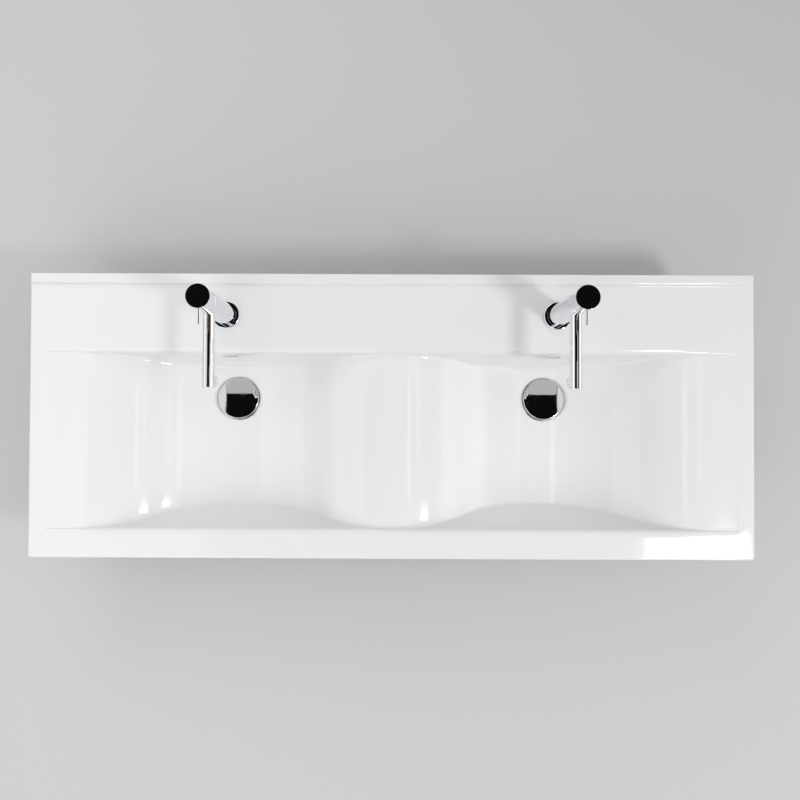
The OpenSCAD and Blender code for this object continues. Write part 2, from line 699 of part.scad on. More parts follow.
at_tap(-1) tap_gasket();  // left_tap_gasket
at_tap(-1) base_ring();  // left_base_ring
at_tap(-1) tap_body();  // left_tap_body
at_tap(-1) spout();  // left_spout
at_tap(-1) aerator_shell();  // left_aerator_shell
at_tap(-1) aerator_core();  // left_aerator_core
at_tap(-1) cartridge();  // left_cartridge
at_tap(-1) cartridge_nut();  // left_cartridge_nut
at_tap(-1) collar();  // left_collar
at_tap(-1) rotor();  // left_rotor
at_tap(-1) rotor_pin();  // left_rotor_pin
at_tap(-1) spindle();  // left_spindle
at_tap(-1) handle_cap();  // left_handle_cap
at_tap(-1) lever_pin();  // left_lever_pin
at_tap(-1) grub_screw();  // left_grub_screw
at_tap(-1) fixing_stud();  // left_fixing_stud
at_tap(-1) clamp_seal();  // left_clamp_seal
at_tap(-1) clamp_plate();  // left_clamp_plate
at_tap(-1) stud_nut();  // left_stud_nut

at_tap(1) tap_gasket();  // right_tap_gasket
at_tap(1) base_ring();  // right_base_ring
at_tap(1) tap_body();  // right_tap_body
at_tap(1) spout();  // right_spout
at_tap(1) aerator_shell();  // right_aerator_shell
at_tap(1) aerator_core();  // right_aerator_core
at_tap(1) cartridge();  // right_cartridge
at_tap(1) cartridge_nut();  // right_cartridge_nut
at_tap(1) collar();  // right_collar
at_tap(1) rotor();  // right_rotor
at_tap(1) rotor_pin();  // right_rotor_pin
at_tap(1) spindle();  // right_spindle
at_tap(1) handle_cap();  // right_handle_cap
at_tap(1) lever_pin();  // right_lever_pin
at_tap(1) grub_screw();  // right_grub_screw
at_tap(1) fixing_stud();  // right_fixing_stud
at_tap(1) clamp_seal();  // right_clamp_seal
at_tap(1) clamp_plate();  // right_clamp_plate
at_tap(1) stud_nut();  // right_stud_nut

at_drain(-1) waste_body();  // left_waste_body
at_drain(-1) flange_seal();  // left_flange_seal
at_drain(-1) plug_cap();  // left_plug_cap
at_drain(-1) plug_seal();  // left_plug_seal
at_drain(-1) click_case();  // left_click_case
at_drain(-1) plunger();  // left_plunger
at_drain(-1) click_spring();  // left_click_spring
at_drain(-1) lower_seal();  // left_lower_seal
at_drain(-1) slip_washer();  // left_slip_washer
at_drain(-1) back_nut();  // left_back_nut

at_drain(1) waste_body();  // right_waste_body
at_drain(1) flange_seal();  // right_flange_seal
at_drain(1) plug_cap();  // right_plug_cap
at_drain(1) plug_seal();  // right_plug_seal
at_drain(1) click_case();  // right_click_case
at_drain(1) plunger();  // right_plunger
at_drain(1) click_spring();  // right_click_spring
at_drain(1) lower_seal();  // right_lower_seal
at_drain(1) slip_washer();  // right_slip_washer
at_drain(1) back_nut();  // right_back_nut
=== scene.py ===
import json
import math

import bpy
import mathutils
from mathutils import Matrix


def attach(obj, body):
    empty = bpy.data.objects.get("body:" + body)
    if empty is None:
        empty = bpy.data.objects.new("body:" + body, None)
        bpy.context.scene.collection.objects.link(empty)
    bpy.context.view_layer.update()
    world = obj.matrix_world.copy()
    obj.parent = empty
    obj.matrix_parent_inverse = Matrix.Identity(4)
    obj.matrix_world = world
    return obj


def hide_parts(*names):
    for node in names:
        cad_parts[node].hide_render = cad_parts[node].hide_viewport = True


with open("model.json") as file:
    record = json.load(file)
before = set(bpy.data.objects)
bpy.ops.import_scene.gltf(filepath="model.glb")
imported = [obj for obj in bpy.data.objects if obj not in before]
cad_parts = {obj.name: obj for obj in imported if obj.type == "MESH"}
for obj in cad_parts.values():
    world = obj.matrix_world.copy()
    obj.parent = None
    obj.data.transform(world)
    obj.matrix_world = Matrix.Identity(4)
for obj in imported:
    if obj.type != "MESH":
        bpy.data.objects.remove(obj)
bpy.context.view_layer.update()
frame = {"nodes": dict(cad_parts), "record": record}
nodes = frame["nodes"]
mm = 0.001
sides = {"left": -1, "right": 1}
tapPlace = {s: (k * 274, -68, 50) for s, k in sides.items()}  # foot of each tap, mm
wastePlace = {s: (k * 274, -202, -42) for s, k in sides.items()}  # floor of each bowl, mm
print("frame loaded:", len(nodes), "nodes")


# Selection, modifiers and simple solids

def deselectAll():
    if bpy.context.object and bpy.context.object.mode != "OBJECT":
        bpy.ops.object.mode_set(mode="OBJECT")
    bpy.ops.object.select_all(action="DESELECT")


def makeActive(obj):
    deselectAll()
    obj.select_set(True)
    bpy.context.view_layer.objects.active = obj


def startPick(obj, kind):
    # nothing is selected any more, and the mesh is left in object mode, where a test can set what is
    makeActive(obj)
    bpy.ops.object.mode_set(mode="EDIT")
    bpy.ops.mesh.select_mode(type=kind)
    bpy.ops.mesh.select_all(action="DESELECT")
    bpy.ops.object.mode_set(mode="OBJECT")


def pickVerts(obj, test):
    startPick(obj, "VERT")
    for vert in obj.data.vertices:
        vert.select = bool(test(vert.co))
    bpy.ops.object.mode_set(mode="EDIT")


def pickEdges(obj, test):
    # the edges whose two ends both pass
    startPick(obj, "EDGE")
    for edge in obj.data.edges:
        edge.select = all(test(obj.data.vertices[i].co) for i in edge.vertices)
    bpy.ops.object.mode_set(mode="EDIT")


def pickAll(obj):
    makeActive(obj)
    bpy.ops.object.mode_set(mode="EDIT")
    bpy.ops.mesh.select_all(action="SELECT")


def leaveEdit():
    bpy.ops.object.mode_set(mode="OBJECT")


def settle(obj, name):
    # a finished piece has its place in its mesh
    makeActive(obj)
    obj.name = name
    obj.data.name = name
    bpy.ops.object.transform_apply(location=True, rotation=True, scale=True)
    return obj


def applyModifier(obj, kind, **values):
    makeActive(obj)
    modifier = obj.modifiers.new(kind.lower(), kind)
    for key, value in values.items():
        setattr(modifier, key, value)
    bpy.ops.object.modifier_apply(modifier=modifier.name)


def cutAway(obj, cutters, operation="DIFFERENCE"):
    for cutter in cutters:
        applyModifier(obj, "BOOLEAN", object=cutter, operation=operation, solver="EXACT")
        bpy.data.objects.remove(cutter)


def smoothByAngle(obj, degrees=32):
    makeActive(obj)
    bpy.ops.object.shade_smooth_by_angle(angle=math.radians(degrees), keep_sharp_edges=True)


def rodAlong(axis, radius, start, length, place, radius2=None, verts=64):
    # cylinder or cone from start along +Z, or towards the front for axis "Y"
    x, y, z = place
    turn = (math.radians(90), 0, 0) if axis == "Y" else (0, 0, 0)
    middle = start + length / 2
    centre = (x, y - middle, z) if axis == "Y" else (x, y, z + middle)
    bpy.ops.mesh.primitive_cone_add(
        vertices=verts, radius1=radius * mm, radius2=(radius if radius2 is None else radius2) * mm,
        depth=length * mm, location=[c * mm for c in centre], rotation=turn, end_fill_type="NGON")
    bpy.ops.object.transform_apply(location=True, rotation=True, scale=True)
    return bpy.context.object


def roundEnd(obj, axis, end, radius, segments):
    # bevels a rod's far end, which lies at this Y or Z in mm
    index, way = (1, -1) if axis == "Y" else (2, 1)
    pickEdges(obj, lambda co: way * co[index] > (way * end - 0.01) * mm)
    bpy.ops.mesh.bevel(offset=radius * mm, segments=segments, affect="EDGES")
    leaveEdit()


def blockAt(size, centre, turn=0.0):
    # a box of this size about its centre, turned about the upright axis, in mm and degrees
    bpy.ops.mesh.primitive_cube_add(size=1, location=[c * mm for c in centre])
    block = bpy.context.object
    block.scale = [c * mm for c in size]
    block.rotation_euler = (0, 0, math.radians(turn))
    bpy.ops.object.transform_apply(location=True, rotation=True, scale=True)
    return block


def turned(profile, place, steps=96, closed=True):
    # a profile of (radius, height) points drawn vertex by vertex and spun about the upright axis
    deselectAll()
    x, y, z = [c * mm for c in place]
    bpy.ops.mesh.primitive_plane_add(size=0.001, location=(0, 0, 0))
    obj = bpy.context.object
    bpy.ops.object.mode_set(mode="EDIT")
    bpy.ops.mesh.select_mode(type="VERT")
    bpy.ops.mesh.select_all(action="SELECT")
    bpy.ops.mesh.merge(type="CENTER")
    first = profile[0]
    bpy.ops.transform.translate(value=(first[0] * mm, 0, first[1] * mm))
    for before, after in zip(profile, profile[1:]):
        step = ((after[0] - before[0]) * mm, 0, (after[1] - before[1]) * mm)
        bpy.ops.mesh.extrude_region_move(TRANSFORM_OT_translate={"value": step})
    if closed:
        ends = [mathutils.Vector((r * mm, 0, h * mm)) for r, h in (first, profile[-1])]
        pickVerts(obj, lambda co: min((co - end).length for end in ends) < 1e-7)
        bpy.ops.mesh.edge_face_add()
    bpy.ops.mesh.select_all(action="SELECT")
    bpy.ops.mesh.spin(steps=steps, angle=2 * math.pi, center=(0, 0, 0), axis=(0, 0, 1))
    bpy.ops.mesh.select_all(action="SELECT")
    bpy.ops.mesh.remove_doubles(threshold=1e-6)
    bpy.ops.mesh.normals_make_consistent(inside=False)
    leaveEdit()
    obj.location = (x, y, z)
    bpy.ops.object.transform_apply(location=True, rotation=False, scale=False)
    return obj


def arcPoints(centre, radius, start, end, count):
    points = []
    for i in range(count + 1):
        a = math.radians(start + (end - start) * i / count)
        points.append((centre[0] + radius * math.cos(a), centre[1] + radius * math.sin(a)))
    return points


# Node groups that more than one material uses

def newGroup(name, inputs, outputs):
    group = bpy.data.node_groups.new(name, "ShaderNodeTree")
    for label, kind, value in inputs:
        socket = group.interface.new_socket(name=label, in_out="INPUT", socket_type=kind)
        if value is not None:
            socket.default_value = value
    for label, kind in outputs:
        group.interface.new_socket(name=label, in_out="OUTPUT", socket_type=kind)
    return group, group.nodes.new("NodeGroupInput"), group.nodes.new("NodeGroupOutput")


def addNode(tree, kind, values=None, links=None, **options):
    node = tree.nodes.new(kind)
    for key, value in options.items():
        setattr(node, key, value)
    for socket, value in (values or {}).items():
        node.inputs[socket].default_value = value
    for socket, source in (links or {}).items():
        tree.links.new(source, node.inputs[socket])
    return node


def buildSurfaceGrain():
    # fine unevenness, from orange peel in a glaze to the skin of a moulding
    group, gin, gout = newGroup("surfaceGrain", [
        ("Fine Scale", "NodeSocketFloat", 600.0), ("Broad Scale", "NodeSocketFloat", 18.0),
        ("Broad Share", "NodeSocketFloat", 0.5)], [("Height", "NodeSocketFloat")])
    coords = addNode(group, "ShaderNodeTexCoord").outputs["Object"]
    fine = addNode(group, "ShaderNodeTexNoise", {"Detail": 3.0, "Roughness": 0.55},
                   {"Vector": coords, "Scale": gin.outputs["Fine Scale"]})
    broad = addNode(group, "ShaderNodeTexNoise", {"Detail": 1.0},
                    {"Vector": coords, "Scale": gin.outputs["Broad Scale"]})
    blend = addNode(group, "ShaderNodeMix", None, {
        "Factor": gin.outputs["Broad Share"], 2: fine.outputs[0], 3: broad.outputs[0]})
    group.links.new(blend.outputs[0], gout.inputs["Height"])
    return group


def buildHandlingMarks():
    # faint smears and dried drops that vary the gloss
    group, gin, gout = newGroup("handlingMarks", [
        ("Clean", "NodeSocketFloat", 0.04), ("Marked", "NodeSocketFloat", 0.16),
        ("Smear Scale", "NodeSocketFloat", 22.0), ("Drop Scale", "NodeSocketFloat", 160.0)],
        [("Roughness", "NodeSocketFloat"), ("Mask", "NodeSocketFloat")])
    coords = addNode(group, "ShaderNodeTexCoord").outputs["Object"]
    smear = addNode(group, "ShaderNodeTexNoise", {"Detail": 5.0, "Roughness": 0.62, "Distortion": 0.7},
                    {"Vector": coords, "Scale": gin.outputs["Smear Scale"]})
    smearMask = addNode(group, "ShaderNodeMapRange", {"From Min": 0.52, "From Max": 0.78},
                        {"Value": smear.outputs[0]}, interpolation_type="SMOOTHSTEP")
    drops = addNode(group, "ShaderNodeTexVoronoi", {"Randomness": 1.0},
                    {"Vector": coords, "Scale": gin.outputs["Drop Scale"]}, feature="F1")
    dropMask = addNode(group, "ShaderNodeMapRange", {"From Min": 0.16, "From Max": 0.10},
                       {"Value": drops.outputs["Distance"]}, interpolation_type="SMOOTHSTEP")
    few = addNode(group, "ShaderNodeTexNoise", {"Detail": 1.0}, {"Vector": coords,
                  "Scale": gin.outputs["Smear Scale"]})
    fewMask = addNode(group, "ShaderNodeMapRange", {"From Min": 0.58, "From Max": 0.66},
                      {"Value": few.outputs[0]})
    dropShare = addNode(group, "ShaderNodeMath", None, {0: dropMask.outputs[0], 1: fewMask.outputs[0]},
                        operation="MULTIPLY")
    halfDrop = addNode(group, "ShaderNodeMath", {1: 0.5}, {0: dropShare.outputs[0]},
                       operation="MULTIPLY")
    both = addNode(group, "ShaderNodeMath", None, {0: smearMask.outputs[0], 1: halfDrop.outputs[0]},
                   operation="MAXIMUM")
    rough = addNode(group, "ShaderNodeMix", None, {
        "Factor": both.outputs[0], 2: gin.outputs["Clean"], 3: gin.outputs["Marked"]})
    group.links.new(rough.outputs[0], gout.inputs["Roughness"])
    group.links.new(both.outputs[0], gout.inputs["Mask"])
    return group


def buildToneShift():
    # slow change of tone over a surface, with a few specks
    group, gin, gout = newGroup("toneShift", [
        ("Light", "NodeSocketColor", (1, 1, 1, 1)), ("Dark", "NodeSocketColor", (0.9, 0.9, 0.9, 1)),
        ("Speck", "NodeSocketColor", (0.5, 0.45, 0.4, 1)), ("Scale", "NodeSocketFloat", 6.0),
        ("Speck Scale", "NodeSocketFloat", 90.0), ("Speck Size", "NodeSocketFloat", 0.03)],
        [("Color", "NodeSocketColor")])
    coords = addNode(group, "ShaderNodeTexCoord").outputs["Object"]
    slow = addNode(group, "ShaderNodeTexNoise", {"Detail": 3.0}, {"Vector": coords,
                   "Scale": gin.outputs["Scale"]})
    tone = addNode(group, "ShaderNodeMix", None, {"Factor": slow.outputs[0], 6: gin.outputs["Light"],
                   7: gin.outputs["Dark"]}, data_type="RGBA")
    cells = addNode(group, "ShaderNodeTexVoronoi", {"Randomness": 1.0}, {"Vector": coords,
                    "Scale": gin.outputs["Speck Scale"]}, feature="F1")
    speck = addNode(group, "ShaderNodeMath", None, {0: cells.outputs["Distance"],
                    1: gin.outputs["Speck Size"]}, operation="LESS_THAN")
    faint = addNode(group, "ShaderNodeMath", {1: 0.5}, {0: speck.outputs[0]}, operation="MULTIPLY")
    final = addNode(group, "ShaderNodeMix", None, {"Factor": faint.outputs[0], 6: tone.outputs[2],
                    7: gin.outputs["Speck"]}, data_type="RGBA")
    group.links.new(final.outputs[2], gout.inputs["Color"])
    return group


surfaceGrain = buildSurfaceGrain()
handlingMarks = buildHandlingMarks()
toneShift = buildToneShift()


def placeGroup(tree, group, values):
    node = addNode(tree, "ShaderNodeGroup")
    node.node_tree = group
    for key, value in values.items():
        node.inputs[key].default_value = value
    return node


def newMaterial(name, settings, constants):
    material = bpy.data.materials.new(name)
    material.use_nodes = True
    tree = material.node_tree
    shader = tree.nodes["Principled BSDF"]
    for key, value in constants.items():
        shader.inputs[key].default_value = value
    if "tone" in settings:
        tone = placeGroup(tree, toneShift, settings["tone"])
        tree.links.new(tone.outputs["Color"], shader.inputs["Base Color"])
    if "marks" in settings:
        marks = placeGroup(tree, handlingMarks, settings["marks"])
        tree.links.new(marks.outputs["Roughness"], shader.inputs["Roughness"])
    if "grain" in settings:
        grain = placeGroup(tree, surfaceGrain, settings["grain"])
        bump = addNode(tree, "ShaderNodeBump", {"Strength": settings["bump"][0],
                       "Distance": settings["bump"][1]}, {"Height": grain.outputs["Height"]})
        tree.links.new(bump.outputs["Normal"], shader.inputs["Normal"])
    return material


def rgb(r, g, b):
    return (r, g, b, 1)


whiteGlaze = newMaterial("whiteGlaze", {
    "tone": {"Light": rgb(0.885, 0.887, 0.89), "Dark": rgb(0.862, 0.863, 0.865),
             "Speck": rgb(0.70, 0.68, 0.64), "Scale": 3.0, "Speck Scale": 45.0, "Speck Size": 0.010},
    "marks": {"Clean": 0.07, "Marked": 0.13, "Smear Scale": 7.0, "Drop Scale": 110.0},
    "grain": {"Fine Scale": 260.0, "Broad Scale": 26.0, "Broad Share": 0.72},
    "bump": (0.06, 0.0015)}, {"IOR": 1.52})
firedBody = newMaterial("firedBody", {
    "tone": {"Light": rgb(0.80, 0.79, 0.76), "Dark": rgb(0.74, 0.725, 0.69),
             "Speck": rgb(0.42, 0.36, 0.30), "Scale": 9.0, "Speck Scale": 150.0, "Speck Size": 0.05},
    "marks": {"Clean": 0.32, "Marked": 0.62, "Smear Scale": 11.0, "Drop Scale": 90.0},
    "grain": {"Fine Scale": 900.0, "Broad Scale": 60.0, "Broad Share": 0.35},
    "bump": (0.25, 0.0006)}, {"IOR": 1.5})
polishedChrome = newMaterial("polishedChrome", {
    "tone": {"Light": rgb(0.85, 0.86, 0.88), "Dark": rgb(0.79, 0.80, 0.825),
             "Speck": rgb(0.62, 0.62, 0.62), "Scale": 14.0, "Speck Scale": 500.0, "Speck Size": 0.02},
    "marks": {"Clean": 0.025, "Marked": 0.10, "Smear Scale": 38.0, "Drop Scale": 330.0},
    "grain": {"Fine Scale": 1800.0, "Broad Scale": 120.0, "Broad Share": 0.4},
    "bump": (0.02, 0.0002)}, {"Metallic": 1.0})
mirrorChrome = newMaterial("mirrorChrome", {
    "tone": {"Light": rgb(0.88, 0.88, 0.89), "Dark": rgb(0.83, 0.83, 0.84),
             "Speck": rgb(0.66, 0.66, 0.66), "Scale": 10.0, "Speck Scale": 400.0, "Speck Size": 0.02},
    "marks": {"Clean": 0.015, "Marked": 0.07, "Smear Scale": 30.0, "Drop Scale": 240.0},
    "grain": {"Fine Scale": 1500.0, "Broad Scale": 45.0, "Broad Share": 0.6},
    "bump": (0.015, 0.0002)}, {"Metallic": 1.0})
turnedBrass = newMaterial("turnedBrass", {
    "tone": {"Light": rgb(0.72, 0.57, 0.29), "Dark": rgb(0.58, 0.43, 0.20),
             "Speck": rgb(0.30, 0.20, 0.10), "Scale": 60.0, "Speck Scale": 700.0, "Speck Size": 0.06},
    "marks": {"Clean": 0.22, "Marked": 0.42, "Smear Scale": 60.0, "Drop Scale": 420.0},
    "grain": {"Fine Scale": 2200.0, "Broad Scale": 300.0, "Broad Share": 0.4},
    "bump": (0.15, 0.0002)}, {"Metallic": 1.0})
zincSteel = newMaterial("zincSteel", {
    "tone": {"Light": rgb(0.62, 0.63, 0.65), "Dark": rgb(0.50, 0.51, 0.53),
             "Speck": rgb(0.30, 0.30, 0.30), "Scale": 90.0, "Speck Scale": 800.0, "Speck Size": 0.05},
    "marks": {"Clean": 0.26, "Marked": 0.45, "Smear Scale": 70.0, "Drop Scale": 500.0},
    "grain": {"Fine Scale": 2400.0, "Broad Scale": 400.0, "Broad Share": 0.4},
    "bump": (0.2, 0.0002)}, {"Metallic": 1.0})
blackRubber = newMaterial("blackRubber", {
    "tone": {"Light": rgb(0.045, 0.045, 0.047), "Dark": rgb(0.028, 0.028, 0.029),
             "Speck": rgb(0.10, 0.10, 0.10), "Scale": 70.0, "Speck Scale": 600.0, "Speck Size": 0.08},
    "marks": {"Clean": 0.62, "Marked": 0.82, "Smear Scale": 60.0, "Drop Scale": 500.0},
    "grain": {"Fine Scale": 2600.0, "Broad Scale": 300.0, "Broad Share": 0.3},
    "bump": (0.4, 0.0002)}, {"IOR": 1.5})
whiteAcetal = newMaterial("whiteAcetal", {
    "tone": {"Light": rgb(0.80, 0.80, 0.77), "Dark": rgb(0.75, 0.75, 0.72),
             "Speck": rgb(0.60, 0.60, 0.56), "Scale": 50.0, "Speck Scale": 500.0, "Speck Size": 0.04},
    "marks": {"Clean": 0.34, "Marked": 0.52, "Smear Scale": 60.0, "Drop Scale": 420.0},
    "grain": {"Fine Scale": 2000.0, "Broad Scale": 250.0, "Broad Share": 0.3},
    "bump": (0.15, 0.0002)}, {"IOR": 1.48, "Subsurface Weight": 0.12, "Subsurface Scale": 0.003})
print("materials ready:", len(bpy.data.materials))

# the solids' own look, by the slot that the record gives each of them
slotLook = {"glaze": firedBody, "tap_chrome": polishedChrome, "waste_chrome": mirrorChrome,
            "brass": turnedBrass, "steel": zincSteel, "rubber": blackRubber,
            "white_plastic": whiteAcetal}
for part in frame["record"]["subparts"]:
    look = slotLook[part["material_slot"]]
    obj = nodes[part["node"]]
    if not obj.material_slots:
        obj.data.materials.append(look)
    for place in obj.material_slots:
        place.material = look


def finishPiece(obj, name, body, material, stands=(), angle=32, level=True):
    settle(obj, name)
    obj.data.materials.clear()
    obj.data.materials.append(material)
    smoothByAngle(obj, angle)
    if level:
        applyModifier(obj, "WEIGHTED_NORMAL", keep_sharp=True)
    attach(obj, body)
    if stands:
        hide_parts(*stands)
    return obj


# Camera at the photograph's viewpoint, above the basin
camera = {"place": (-8.6, -245.3, 1049.8), "turn": (0.763, 0.147, 0.243), "lens": 27.2, "sensor": 36.0,
          "shift": (0.0194, 0.0185)}
bpy.ops.object.camera_add(location=[c * mm for c in camera["place"]],
                          rotation=[math.radians(a) for a in camera["turn"]])
photoCamera = bpy.context.object
photoCamera.name = "photoCamera"
photoCamera.data.lens = camera["lens"]
photoCamera.data.sensor_width = camera["sensor"]
photoCamera.data.shift_x, photoCamera.data.shift_y = camera["shift"]
photoCamera.data.clip_start = 0.01
bpy.context.scene.camera = photoCamera


# Glazed skin of the basin, sizes in mm: drawn at the solid's size, then drawn in a little
basinSkin = {
    "halfWidth": 599.65, "depth": 469.65, "solidHalf": 600.0, "solidDepth": 470.0,
    "rim": 50.0, "corner": 5.0, "edge": 3.0, "foot": 0.5, "skirtDrops": (12.0, 24.0, 37.0),
    "bowl": 274.0, "troughEnd": 582.0, "shelf": 37.0, "shelfLip": 18.0,
    "bowlDepth": 92.0, "humpDepth": 8.0, "shelfDepth": 1.4, "innerFlat": 29.0, "outerFlat": 1.0,
    "backLedge": 129.0, "frontLedge": 47.0, "backLean": 9.5, "frontLean": 18.5,
    "lipRadius": 8.0, "footRadius": 7.0, "cornerRadius": 16.0,
    "upstand": 6.0, "upstandDepth": 16.0, "upstandEnd": 595.0, "upstandFade": 0.5,
    # points (Y, share of the upstand) of its flat top and the edge at the wall
    "wallEdge": ((-9.0, 1.0), (-5.0, 1.0), (-2.5, 1.0), (-1.0, 1.0), (-0.3, 0.86)),
    "steps": {"rim": 6, "round": 7, "wall": 9, "floor": 44, "deck": 15, "rise": 6,
              "wave": 92, "shelf": 5, "endSlope": 14, "end": 3, "edge": 5},
    "weld": 0.002, "thickness": 0.8, "outwards": 0.2,
}


def easeDrop(u, length, height):
    # two equal arcs that meet halfway along a flank
    radius = (length * length + height * height) / (4 * height)
    if u <= length / 2:
        return radius - math.sqrt(radius * radius - u * u)
    return height - radius + math.sqrt(radius * radius - (length - u) ** 2)


def waveDepth(x):
    s = basinSkin
    x = abs(x)
    flatIn, flatOut = s["bowl"] - s["innerFlat"], s["bowl"] + s["outerFlat"]
    shelf, lip = s["troughEnd"] - s["shelf"], s["troughEnd"] - s["shelfLip"]
    if x < flatIn:
        return s["humpDepth"] + easeDrop(x, flatIn, s["bowlDepth"] - s["humpDepth"])
    if x < flatOut:
        return s["bowlDepth"]
    if x < shelf:
        return s["bowlDepth"] - easeDrop(x - flatOut, shelf - flatOut, s["bowlDepth"] - s["shelfDepth"])
    if x < lip:
        return s["shelfDepth"]
    if x < s["troughEnd"]:
        return s["shelfDepth"] - easeDrop(x - lip, s["shelfLip"], s["shelfDepth"])
    return 0.0


def spread(start, end, count):
    return [start + (end - start) * i / count for i in range(count + 1)]


def endInset(x):
    # how far the trough's rounded corner in plan has drawn a wall in at this x
    radius = basinSkin["cornerRadius"]
    beyond = min(radius, abs(x) - basinSkin["troughEnd"] + radius)
    return radius - math.sqrt(radius * radius - beyond * beyond) if beyond > 0 else 0.0


def wallLine(edge, lean, way, rim, z):
    # Y of a leaning wall at height z; way is 1 for the front wall, -1 for the back one
    return edge + way * (rim - z) * math.tan(math.radians(lean))


def sine(degrees):
    return math.sin(math.radians(degrees))


def cosine(degrees):
    return math.cos(math.radians(degrees))


def crossSection(x):
    # (y, z) from the front rim to the back edge at one x, always with the same number of points
    s = basinSkin
    steps = s["steps"]
    rim, depth = s["rim"], waveDepth(x)
    floor = rim - depth
    frontEdge = s["frontLedge"] - s["solidDepth"] + endInset(x)
    backEdge = -s["backLedge"] - endInset(x)
    halves = []
    for edge, lean, way in ((frontEdge, s["frontLean"], 1), (backEdge, s["backLean"], -1)):
        fall = 1 - sine(lean)
        share = min(1.0, depth / ((s["lipRadius"] + s["footRadius"]) * fall)) if depth > 0 else 0.0
        lip, foot = s["lipRadius"] * share, s["footRadius"] * share
        lipMid = edge - way * lip * math.tan(math.radians((90 - lean) / 2))
        arc = [(lipMid + way * lip * cosine(a), rim - lip + lip * sine(a))
               for a in spread(90, lean, steps["round"])]
        top, low = rim - lip + lip * sine(lean), floor + foot - foot * sine(lean)
        wall = [(wallLine(edge, lean, way, rim, z), z) for z in spread(top, low, steps["wall"])[1:-1]]
        footMid = wallLine(edge, lean, way, rim, floor + foot) + way * foot / cosine(lean)
        base = [(footMid - way * foot * cosine(a), floor + foot - foot * sine(a))
                for a in spread(lean, 90, steps["round"])]
        halves.append(arc + wall + base)
    front, back = halves
    rimPart = [(y, rim) for y in spread(s["corner"] - s["solidDepth"], front[0][0], steps["rim"])[:-1]]
    floorPart = [(y, floor) for y in spread(front[-1][0], back[-1][0], steps["floor"])[1:-1]]
    fade = s["upstandFade"]
    lift = min(1.0, max(0.0, (s["upstandEnd"] + fade - abs(x)) / fade)) * s["upstand"]
    half, reach = s["upstand"] / 2, s["upstandDepth"]
    deck = [(y, rim) for y in spread(back[0][0], -reach - half, steps["deck"])[1:-1]]
    rise = [(-reach - half + half * sine(a), rim + lift / 2 * (1 - cosine(a)))
            for a in spread(0, 90, steps["rise"])]
    rise += [(-reach + half * (1 - cosine(a)), rim + lift / 2 * (1 + sine(a)))
             for a in spread(0, 90, steps["rise"])[1:]]
    topPart = [(y, rim + lift * share) for y, share in s["wallEdge"]]
    return rimPart + front + floorPart + back[::-1] + deck + rise + topPart


def outerBands():
    # past the flat rim, each step outwards: its radius about the corner's centre, its drop below the rim
    s = basinSkin
    corner, edge, fade = s["corner"], s["edge"], s["upstandFade"]
    bands = [(fade / 2, 0.0), (fade, 0.0), (corner - edge, 0.0)]
    bands += [(corner - edge + edge * sine(a), edge - edge * cosine(a))
              for a in spread(15, 90, s["steps"]["edge"])]
    return bands + [(corner, drop) for drop in (*s["skirtDrops"], s["rim"] - s["foot"])]


def waveColumns():
    # X of the right half's columns, closer together where the trough ends
    s = basinSkin
    steps, end = s["steps"], s["troughEnd"]
    shelf, lip = end - s["shelf"], end - s["shelfLip"]
    slope = [lip + s["shelfLip"] * sine(a) for a in spread(0, 90, steps["endSlope"])]
    return (spread(0, shelf, steps["wave"]) + spread(shelf, lip, steps["shelf"])[1:] + slope[1:]
            + spread(end, s["solidHalf"] - s["corner"], steps["end"])[1:])


def buildBasinSkin():
    s = basinSkin
    inner, bands = waveColumns(), outerBands()
    corner, fade = s["corner"], s["upstandFade"]
    # the flat rim ends at the centre of the front corner's round
    flatX, flatY = s["solidHalf"] - corner, corner - s["solidDepth"]
    sections = [crossSection(x) for x in inner]
    rows = len(sections[0]) + len(bands)
    columns = 2 * (len(inner) + len(bands)) - 1
    # a flat grid whose columns are moved onto the sections, and whose borders go down the outside
    deselectAll()
    bpy.ops.mesh.primitive_grid_add(x_subdivisions=columns - 1, y_subdivisions=rows - 1, size=2)
    obj = bpy.context.object
    middle = (columns - 1) // 2
    squeeze = s["halfWidth"] / s["solidHalf"], s["depth"] / s["solidDepth"]
    for vert in obj.data.vertices:
        i = round((vert.co.x + 1) / 2 * (columns - 1)) - middle
        j = round((vert.co.y + 1) / 2 * (rows - 1)) - len(bands)
        side, k = (1 if i >= 0 else -1), abs(i)
        outX, outY = k - len(inner) + 1, -j  # steps into the side band and the front band
        if outX <= 0 and outY <= 0:
            x, (y, z) = inner[k], sections[k][j]
        elif outX <= 0:
            radius, drop = bands[outY - 1]
            x, y, z = inner[k], flatY - radius, s["rim"] - drop
        elif outY <= 0:
            radius, drop = bands[outX - 1]
            y, z = sections[-1][j]
            z = s["rim"] + (z - s["rim"]) * max(0.0, 1 - radius / fade) - drop
            if y > -corner:  # rounded corner at the wall
                radius *= math.sqrt(max(0.0, corner ** 2 - (y + corner) ** 2)) / corner
            x = flatX + radius
        else:
            turn = outY / outX * 45 if outX >= outY else 90 - outX / outY * 45
            radius, drop = bands[max(outX, outY) - 1]
            x, y, z = flatX + radius * cosine(turn), flatY - radius * sine(turn), s["rim"] - drop
        vert.co = (side * x * squeeze[0] * mm, y * squeeze[1] * mm, z * mm)
    bpy.context.view_layer.update()
    # past the trough's ends its walls have no height, so their points are welded
    pickAll(obj)
    bpy.ops.mesh.remove_doubles(threshold=s["weld"] * mm)
    bpy.ops.mesh.normals_make_consistent(inside=False)
    leaveEdit()
    if obj.data.polygons[len(obj.data.polygons) // 2].normal.z < 0:
        pickAll(obj)
        bpy.ops.mesh.flip_normals()
        leaveEdit()
    applyModifier(obj, "SOLIDIFY", thickness=s["thickness"] * mm, offset=s["outwards"],
                  use_even_offset=True)
    return obj


